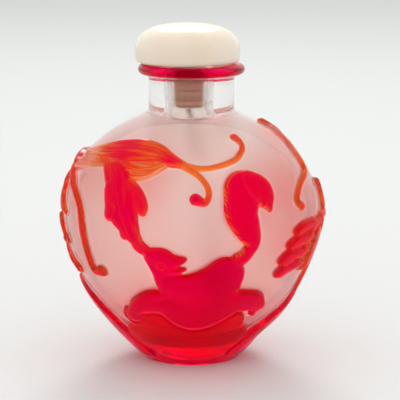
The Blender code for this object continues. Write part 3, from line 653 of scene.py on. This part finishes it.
def make_bottle_glass():
    """The whole glass of the bottle as one closed skin, from the middle of the foot out over
    the carved outside to the lip, and down inside to the floor of the hollow."""
    bearing = bearings()
    inner = bearing[::COLUMNS // INSIDE_COLUMNS]
    height = body_heights()
    points, normals = surface_grid(bearing, height)
    rise, edge, carved = carve(points, normals)

    casing = FOOT_CASING * (1 - CASING_THINNING * np.clip(height / FOOT_CASING_HEIGHT, 0, 1) ** 3)
    casing *= 1 - soft_step(height - FOOT_CASING_HEIGHT, *CASING_FADE)
    rounding = np.clip(1 - height / FOOT_EDGE, 0.0, 1.0)
    casing -= FOOT_EDGE * (1 - np.sqrt(1 - rounding ** 2))
    rise = soften(rise, 1)
    foot_fade = soft_step(height, 0.0, FOOT_FADE)[:, None]
    rise = smooth_max(rise * foot_fade, casing[:, None], CASING_BLEND)
    edge = np.maximum(edge, (FOOT_CASING_HEIGHT - height)[:, None])
    outside = points + normals * rise[:, :, None]
    outside[0, :, 2] = 0.0
    outside[:, :, 2] = np.maximum(outside[:, :, 2], 0.0)
    low = 1 - soft_step(height, 0.5 * FOOT_CASING_HEIGHT, FOOT_CASING_HEIGHT)
    carved[0] += (FOOT_TONE - carved[0]) * low[:, None]

    rings = []
    marks = {name: [] for name in ("edge", "frost", "tone", "fur", "veins", "along", "across", "fan")}

    def add(ring, ring_edge, ring_tone, *others, frost=0.0):
        rings.append(ring)
        values = (ring_edge, frost, ring_tone, *others, 0.0, 0.0, 0.0, 0.0, 0.0)
        for name, value in zip(marks, values):
            marks[name].append(np.broadcast_to(np.asarray(value, dtype=float), (len(ring),)))

    red = 2.0 * MM
    clear = -2.0 * MM
    rim_width = FOOT_HALF_WIDTH - FOOT_RIM_WIDTH
    rim_depth = FOOT_HALF_DEPTH - FOOT_RIM_WIDTH
    add(np.array([[0.0, 0.0, FOOT_RECESS]]), clear, RIM_TONE)
    for share in (0.35, 0.7, 0.88):
        lift = FOOT_RECESS * (1 - 0.1 * share)
        add(oval(inner, lift, rim_width * share, rim_depth * share), clear, RIM_TONE)
    add(oval(inner, 0.05 * MM, rim_width * 0.97, rim_depth * 0.97), red, RIM_TONE)
    add(oval(inner, 0.0, rim_width, rim_depth), red, RIM_TONE)
    add(oval(inner, 0.0, FOOT_HALF_WIDTH, FOOT_HALF_DEPTH), red, RIM_TONE)
    for row in range(len(height)):
        add(outside[row], edge[row], *carved[:, row])
    flange = LIP_RADIUS - LIP_FLARE
    flare_foot = LIP_TOP - LIP_HEIGHT - LIP_FLARE
    for share in (0.35, 0.65, 0.85, 0.96):
        angle = 0.5 * math.pi * share
        radius = flange - (flange - NECK_RADIUS) * math.cos(angle)
        add(oval(bearing, flare_foot + LIP_FLARE * math.sin(angle), radius, radius), clear, 0.3)
    for angle in np.radians(np.linspace(-80, 82, 15)):
        radius = flange + LIP_FLARE * math.cos(angle)
        tall = LIP_TOP - LIP_HEIGHT / 2 + LIP_HEIGHT / 2 * math.sin(angle)
        add(oval(bearing, tall, radius, radius), red if angle > LIP_RED_FROM else clear, LIP_TONE)
    add(oval(bearing, LIP_TOP, flange - 0.4 * MM, flange - 0.4 * MM), red, LIP_TONE)
    for tall, wide, deep, shift in inside_profile():
        add(oval(inner, tall, wide, deep, shift), clear, 0.5, frost=0.0 if tall >= LIP_TOP else 1.0)
    add(np.array([[0.0, 0.0, BASE_THICKNESS]]), clear, 0.5, frost=1.0)
    return skin("bottle_glass", rings, {name: np.concatenate(values) for name, values in marks.items()})


def turned(name, rows, shift=0.0, sides=96):
    """Turned piece: a closed profile of heights and radii, from pole to pole."""
    bearing = np.arange(sides) / sides * 2 * math.pi
    rings = [np.array([[shift, 0.0, rows[0][0]]])]
    for height, radius in rows:
        rings.append(oval(bearing, height, radius, radius, shift))
    rings.append(np.array([[shift, 0.0, rows[-1][0]]]))
    return skin(name, rings)


def make_cap():
    """Domed cap: a short side with a rounded lower edge, then a superellipse for the dome."""
    base = LIP_TOP + SEAT_GAP
    rows = [(base, share * CAP_BASE_RADIUS) for share in (0.3, 0.6, 0.9)]
    for angle in np.linspace(-0.5 * math.pi, 0.0, 9):
        radius = CAP_BASE_RADIUS + (CAP_RADIUS - CAP_BASE_RADIUS) * math.cos(angle)
        rows.append((base + CAP_SIDE_HEIGHT * (1 + math.sin(angle)), radius))
    dome = CAP_HEIGHT - CAP_SIDE_HEIGHT
    for angle in np.linspace(0.0, 0.5 * math.pi, 46)[1:-1]:
        radius = CAP_RADIUS * math.cos(angle) ** (2 / CAP_FULLNESS)
        rows.append((base + CAP_SIDE_HEIGHT + dome * math.sin(angle) ** (2 / CAP_FULLNESS), radius))
    rows.append((base + CAP_HEIGHT, 0.05 * CAP_RADIUS))
    return turned("cap_of_milk_stone", rows, CAP_SHIFT)


def make_plug():
    """Tapered plug with fine turned ribs and a rounded lower edge."""
    foot = LIP_TOP - PLUG_LENGTH
    lower = PLUG_RADIUS - PLUG_TAPER
    rows = [(foot, share * (lower - PLUG_ROUNDING)) for share in (0.4, 0.8)]
    for angle in np.linspace(0.0, 0.5 * math.pi, 7):
        radius = lower - PLUG_ROUNDING * (1 - math.sin(angle))
        rows.append((foot + PLUG_ROUNDING * (1 - math.cos(angle)), radius))
    for height in np.linspace(foot + PLUG_ROUNDING, LIP_TOP, 90)[1:]:
        share = (LIP_TOP - height) / PLUG_LENGTH
        ribs = RIB_HEIGHT * (math.sin(height / RIB_LENGTH) + 0.6 * math.sin(height / BROAD_RIB_LENGTH))
        rows.append((height, PLUG_RADIUS - PLUG_TAPER * share + ribs - RIB_INSET))
    return turned("turned_plug", rows, BORE_SHIFT, 64)


def make_spoon():
    """Round stem that widens into a small dished scoop, leaning to the right: sections that
    are ellipses, lifted at the sides by the dish."""
    sides = 20
    turn = np.arange(sides) / sides * 2 * math.pi
    start = np.array([BORE_SHIFT, 0.0, LIP_TOP - PLUG_LENGTH - SEAT_GAP])
    down = np.array([math.sin(SPOON_LEAN), 0.0, -math.cos(SPOON_LEAN)])
    across = np.array([math.cos(SPOON_LEAN), 0.0, math.sin(SPOON_LEAN)])
    stem_end = SPOON_LENGTH - SCOOP_LENGTH
    rings = [start[None]]
    scoop = stem_end + SCOOP_LENGTH * np.linspace(0.04, 1.0, 26)
    places = np.concatenate([np.linspace(0.0, stem_end, 40), scoop])
    for place in places:
        share = max(place - stem_end, 0.0) / SCOOP_LENGTH
        wide = STEM_RADIUS + (SCOOP_HALF_WIDTH - STEM_RADIUS) * math.sin(math.pi * SCOOP_SWELL * share)
        thick = STEM_RADIUS + (0.5 * SCOOP_THICKNESS - STEM_RADIUS) * float(soft_step(share, 0.0, 0.3))
        dish = SCOOP_DISH * math.sin(math.pi * share)
        depth = thick * np.sin(turn) + dish * (1 - np.cos(turn) ** 2)
        ring = start + down * place + np.outer(np.cos(turn) * wide, across)
        ring[:, 1] += depth
        rings.append(ring)
    rings.append((start + down * SPOON_LENGTH)[None])
    return skin("brass_spoon", rings)


# Materials

# Colours of the red glass by its depth, from a thin skin at 0 to the full casing at 1
RED_BY_DEPTH = (
    (0.0, (1.0, 0.42, 0.26)),
    (0.12, (1.0, 0.24, 0.04)),
    (0.24, (1.0, 0.095, 0.003)),
    (0.36, (1.0, 0.020, 0.001)),
    (0.50, (1.0, 0.001, 0.005)),
    (0.70, (1.0, 0.0, 0.009)),
    (0.85, (0.92, 0.0, 0.016)),
    (1.0, (0.50, 0.0, 0.022)),
)

# Colours of the clear glass and of its frosted inside, and the heights in millimetres between which the
# inside changes from the one colour to the next, or from milky to clear. The pink low on the frosted inside
# is a painted red glow, standing in for the light that the frost scatters from the red casing. The beige in
# the bore is the plug's light seen through the frost, painted in.
CLEAR_GLASS = (0.985, 0.97, 0.96)
MILK_LOW_WITH_PAINTED_RED_GLOW = (1.0, 0.61, 0.57)
MILK_HIGH = (1.0, 0.98, 0.92)
# Beige of the bore: the plug's light seen through the frost, painted in.
BORE_MILK_WITH_PAINTED_PLUG_LIGHT = (0.97, 0.84, 0.75)
MILK_HEIGHTS = (14.0, 50.0)
THROAT_HEIGHTS = (47.0, 54.0)
BORE_HEIGHTS = (50.0, 55.0)


class Wire:
    """A shader socket that does sums: an expression on wires adds its Math nodes."""

    def __init__(self, recipe, socket):
        self.recipe = recipe
        self.socket = socket

    def sum(self, operation, first, second):
        return self.recipe.add("ShaderNodeMath", {"operation": operation}, {0: first, 1: second})

    def __add__(self, other):
        return self.sum('ADD', self, other)

    def __radd__(self, other):
        return self.sum('ADD', other, self)

    def __sub__(self, other):
        return self.sum('SUBTRACT', self, other)

    def __rsub__(self, other):
        return self.sum('SUBTRACT', other, self)

    def __mul__(self, other):
        return self.sum('MULTIPLY', self, other)

    def __rmul__(self, other):
        return self.sum('MULTIPLY', other, self)

    def __truediv__(self, other):
        return self.sum('DIVIDE', self, other)

    def __abs__(self):
        return self.sum('ABSOLUTE', self, 0.0)

    def between(self, low, high, kind='SMOOTHSTEP'):
        """0 at low, 1 at high, and a smooth step between them."""
        sockets = {"Value": self, "From Min": low, "From Max": high}
        return self.recipe.add("ShaderNodeMapRange", {"interpolation_type": kind}, sockets)


class Recipe:
    """A material whose finish is written as expressions on wires."""

    def __init__(self, name):
        self.material = bpy.data.materials.new(name)
        self.material.use_nodes = True
        self.tree = self.material.node_tree
        self.shader = self.tree.nodes["Principled BSDF"]

    def join(self, value, socket):
        if isinstance(value, Wire):
            self.tree.links.new(value.socket, socket)
        elif socket.type == 'RGBA' and len(value) == 3:
            socket.default_value = (*value, 1.0)
        else:
            socket.default_value = value

    def add(self, kind, settings=None, sockets=None, out=0):
        """One node: its settings first, a ramp's stops among them, then its sockets."""
        node = self.tree.nodes.new(kind)
        for name, value in (settings or {}).items():
            if name == "stops":
                ramp = node.color_ramp.elements
                while len(ramp) < len(value):
                    ramp.new(0.5)
                for stop, (place, colour) in zip(ramp, value):
                    stop.position = place
                    stop.color = (*colour, 1.0)
            else:
                setattr(node, name, value)
        for name, value in (sockets or {}).items():
            self.join(value, node.inputs[name])
        return Wire(self, node.outputs[out])

    def mark(self, name):
        """A mark that the piece's points carry."""
        return self.add("ShaderNodeAttribute", {"attribute_name": name}, out="Fac")

    def place(self):
        return self.add("ShaderNodeTexCoord", out="Object")

    def blend(self, factor, first, second):
        """A colour between two colours."""
        return self.add("ShaderNodeMix", {"data_type": 'RGBA'}, {0: factor, 6: first, 7: second}, 2)

    def bump(self, height, distance, strength=1.0):
        sockets = {"Height": height, "Distance": distance, "Strength": strength}
        return self.add("ShaderNodeBump", None, sockets)

    def layer(self, *pairs):
        """The finish mixed with further shaders, each after its factor."""
        mixed = Wire(self, self.shader.outputs[0])
        for factor, other in zip(pairs[0::2], pairs[1::2]):
            mixed = self.add("ShaderNodeMixShader", None, {0: factor, 1: mixed, 2: other})
        self.tree.links.new(mixed.socket, self.tree.nodes["Material Output"].inputs["Surface"])
        return self.material

    def finish(self, **values):
        for name, value in values.items():
            self.join(value, self.shader.inputs[name.replace("_", " ")])
        return self.material


def carved_glass():
    """Polished glass outside: clear where the casing is cut away, pale and orange where it is
    thin and crimson where it is thick, with fine strokes cut into fur and veins into leaves.
    The hollow is frosted, so that the flask is milky up to the neck."""
    recipe = Recipe("carved_glass")
    edge = recipe.mark("edge") / MM
    tone = recipe.mark("tone")
    fur = recipe.mark("fur")
    veins = recipe.mark("veins")
    along = recipe.mark("along") / MM
    across = recipe.mark("across") / MM
    fan = recipe.mark("fan")
    frost = recipe.mark("frost")
    place = recipe.place()
    tall = recipe.add("ShaderNodeSeparateXYZ", None, {"Vector": place}, 2) / MM
    cased = edge.between(-0.10, 0.06)
    slant = along - abs(across) * 0.9
    fur_grain = recipe.add("ShaderNodeCombineXYZ", None, {0: slant * 2.7, 1: across * 0.35, 2: 0.0})
    vein_grain = recipe.add("ShaderNodeCombineXYZ", None, {0: fan * 4.5, 1: along * 0.22, 2: 0.0})
    flat = {"noise_dimensions": '2D'}
    hair = recipe.add("ShaderNodeTexNoise", flat, {"Vector": fur_grain, "Scale": 1.0, "Detail": 1.0})
    vein = recipe.add("ShaderNodeTexNoise", flat, {"Vector": vein_grain, "Scale": 1.0, "Detail": 2.0})
    patch = recipe.add("ShaderNodeTexNoise", None, {"Vector": place, "Scale": 170.0, "Detail": 1.0})
    fur_cut = (hair.between(0.42, 0.60) - 0.5) * fur * (1 - edge.between(0.3, 2.0))
    vein_cut = (vein.between(0.40, 0.62) - 0.5) * veins
    rim = 0.30 + fur * 0.18
    depth = tone * (1 - rim + edge.between(0.0, 1.1) * rim) - fur_cut * 0.42 - vein_cut * 0.20
    depth = depth + (patch - 0.5) * veins * 0.25
    red = recipe.add("ShaderNodeValToRGB", {"stops": RED_BY_DEPTH}, {"Fac": depth})
    # The frost is painted pink low in the flask for the red glow that it scatters from the casing, and beige
    # in the bore for the plug seen through it.
    milk_with_painted_glow = recipe.blend(tall.between(*MILK_HEIGHTS), MILK_LOW_WITH_PAINTED_RED_GLOW, MILK_HIGH)
    bore = tall.between(*BORE_HEIGHTS)
    milk_with_painted_glow = recipe.blend(bore, milk_with_painted_glow, BORE_MILK_WITH_PAINTED_PLUG_LIGHT)
    clear = recipe.blend(frost, CLEAR_GLASS, milk_with_painted_glow)
    cloud = recipe.add("ShaderNodeTexNoise", None, {"Vector": place, "Scale": 160.0, "Detail": 3.0})
    rough = frost * (0.55 - bore * 0.30) + (1 - frost) * (0.03 + cased * 0.05 + cloud * 0.03)
    colour = recipe.blend(cased, clear, red)
    bump = recipe.bump((hair * fur + vein * veins) * cased, 0.10 * MM)
    recipe.shader.inputs["Specular Tint"].default_value = (0.60, 0.50, 0.50, 1.0)
    recipe.finish(Base_Color=colour, Roughness=rough, Normal=bump, Transmission_Weight=1.0, IOR=1.5)
    plain = {"Transmission Weight": 1.0, "IOR": 1.5, "Specular Tint": (0.35, 0.0, 0.08, 1.0)}
    casing = recipe.add("ShaderNodeBsdfPrincipled", None,
                        {"Base Color": colour, "Roughness": rough, "Normal": bump, **plain})
    soft = recipe.add("ShaderNodeBsdfPrincipled", None, {
        "Base Color": colour, "Roughness": 1.0, "Transmission Weight": 0.85, "IOR": 1.25,
        "Specular Tint": (0.2, 0.0, 0.05, 1.0),
    })
    milky = 1 - tall.between(*THROAT_HEIGHTS)
    share = frost * (0.28 + milky * 0.24) + (1 - frost) * (milky * 0.12 + cased * 0.12)
    return recipe.layer(cased, casing, share, soft)


def milk_stone():
    """Polished pale stone, a little see-through, with faint clouds."""
    recipe = Recipe("milk_stone")
    place = recipe.place()
    cloud = recipe.add("ShaderNodeTexNoise", None, {"Vector": place, "Scale": 90.0, "Detail": 3.0})
    colour = recipe.blend(cloud.between(0.35, 0.7), (0.80, 0.655, 0.52), (0.83, 0.72, 0.61))
    recipe.shader.inputs["Subsurface Radius"].default_value = (1.0, 0.8, 0.6)
    return recipe.finish(
        Base_Color=colour,
        Roughness=0.12 + cloud * 0.08,
        Subsurface_Weight=0.6,
        Subsurface_Scale=2.0 * MM,
        Coat_Weight=0.1,
        Coat_Roughness=0.1,
        IOR=1.5,
    )


def turned_wood():
    """Pale turned wood with darker rings, which lie where its bump sinks."""
    recipe = Recipe("turned_wood")
    place = recipe.place()
    split = recipe.add("ShaderNodeSeparateXYZ", None, {"Vector": place}, 2)
    bands = recipe.add("ShaderNodeTexNoise", {"noise_dimensions": '1D'},
                       {"W": split * 2600.0, "Scale": 1.0, "Detail": 2.0})
    colour = recipe.blend(bands.between(0.35, 0.65), (0.34, 0.17, 0.12), (0.82, 0.54, 0.41))
    return recipe.finish(Base_Color=colour, Roughness=0.65, Normal=recipe.bump(bands, 0.05 * MM))


def dull_brass():
    """Dull brass with darker tarnish in patches."""
    recipe = Recipe("dull_brass")
    place = recipe.place()
    spots = recipe.add("ShaderNodeTexNoise", None, {"Vector": place, "Scale": 700.0, "Detail": 3.0})
    colour = recipe.blend(spots.between(0.4, 0.65), (0.55, 0.42, 0.24), (0.36, 0.25, 0.14))
    return recipe.finish(Base_Color=colour, Metallic=1.0, Roughness=0.38 + spots * 0.2)


# Studio


def make_floor():
    """Plain pale floor, far wider than the view."""
    reach = 3.0
    sides = 96
    bearing = np.arange(sides) / sides * 2 * math.pi
    points = oval(bearing, 0.0, reach, reach)
    floor = build_mesh("floor", points, [np.arange(sides)[None, :]])
    recipe = Recipe("pale_floor")
    place = recipe.place()
    cloud = recipe.add("ShaderNodeTexNoise", None, {"Vector": place, "Scale": 3.0, "Detail": 2.0})
    colour = recipe.blend(cloud, (0.61, 0.61, 0.61), (0.63, 0.63, 0.63))
    floor.data.materials.append(recipe.finish(Base_Color=colour, Roughness=0.9))
    return floor


def make_lamp(name, size, power, place, aim, spread=180):
    """Soft square lamp that faces a point, with its light held within a spread in degrees."""
    data = bpy.data.lights.new(name, 'AREA')
    data.shape = 'SQUARE'
    data.size = size
    data.energy = power
    data.spread = math.radians(spread)
    lamp = bpy.data.objects.new(name, data)
    offset = [b - a for a, b in zip(place, aim)]
    lamp.location = place
    flat = math.hypot(offset[0], offset[1])
    lamp.rotation_euler = (math.atan2(flat, -offset[2]), 0.0, math.atan2(-offset[0], offset[1]))
    lamp.visible_camera = False
    bpy.context.scene.collection.objects.link(lamp)


def make_studio():
    """Even pale surroundings, a wide soft lamp behind and above, and a smaller one nearer."""
    world = bpy.data.worlds.new("studio")
    world.use_nodes = True
    world.node_tree.nodes["Background"].inputs["Color"].default_value = (0.98, 1.0, 0.98, 1.0)
    world.node_tree.nodes["Background"].inputs["Strength"].default_value = 1.02
    bpy.context.scene.world = world
    make_lamp("wide_lamp", 1.6, 2.2, (0.0, 0.35, 1.2), (0.0, 0.35, 0.0))
    make_lamp("back_lamp", 0.9, 1.5, (0.0, 1.5, 1.3), (0.0, -0.15, 0.0), 40)


def make_camera():
    """Camera at the photograph's height and distance, level and without shift."""
    data = bpy.data.cameras.new("camera")
    data.lens = LENS
    data.sensor_width = 36.0
    data.clip_start = 0.01
    data.clip_end = 20.0
    camera = bpy.data.objects.new("camera", data)
    camera.location = (
        AIM[0],
        AIM[1] - CAMERA_DISTANCE * math.cos(CAMERA_ELEVATION),
        AIM[2] + CAMERA_DISTANCE * math.sin(CAMERA_ELEVATION),
    )
    camera.rotation_euler = (0.5 * math.pi - CAMERA_ELEVATION, 0.0, 0.0)
    bpy.context.scene.collection.objects.link(camera)
    bpy.context.scene.camera = camera


make_camera()
make_studio()
make_floor()

for piece, node, slot, material in (
    (make_bottle_glass(), "bottle", "clear_glass", carved_glass()),
    (make_cap(), "stopper_cap", "cap_stone", milk_stone()),
    (make_plug(), "stopper_plug", "plug_wood", turned_wood()),
    (make_spoon(), "spoon", "spoon_brass", dull_brass()),
):
    piece.data.materials.append(material)
    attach(piece, "root")
    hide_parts(node)

bpy.context.scene.view_settings.view_transform = 'Standard'
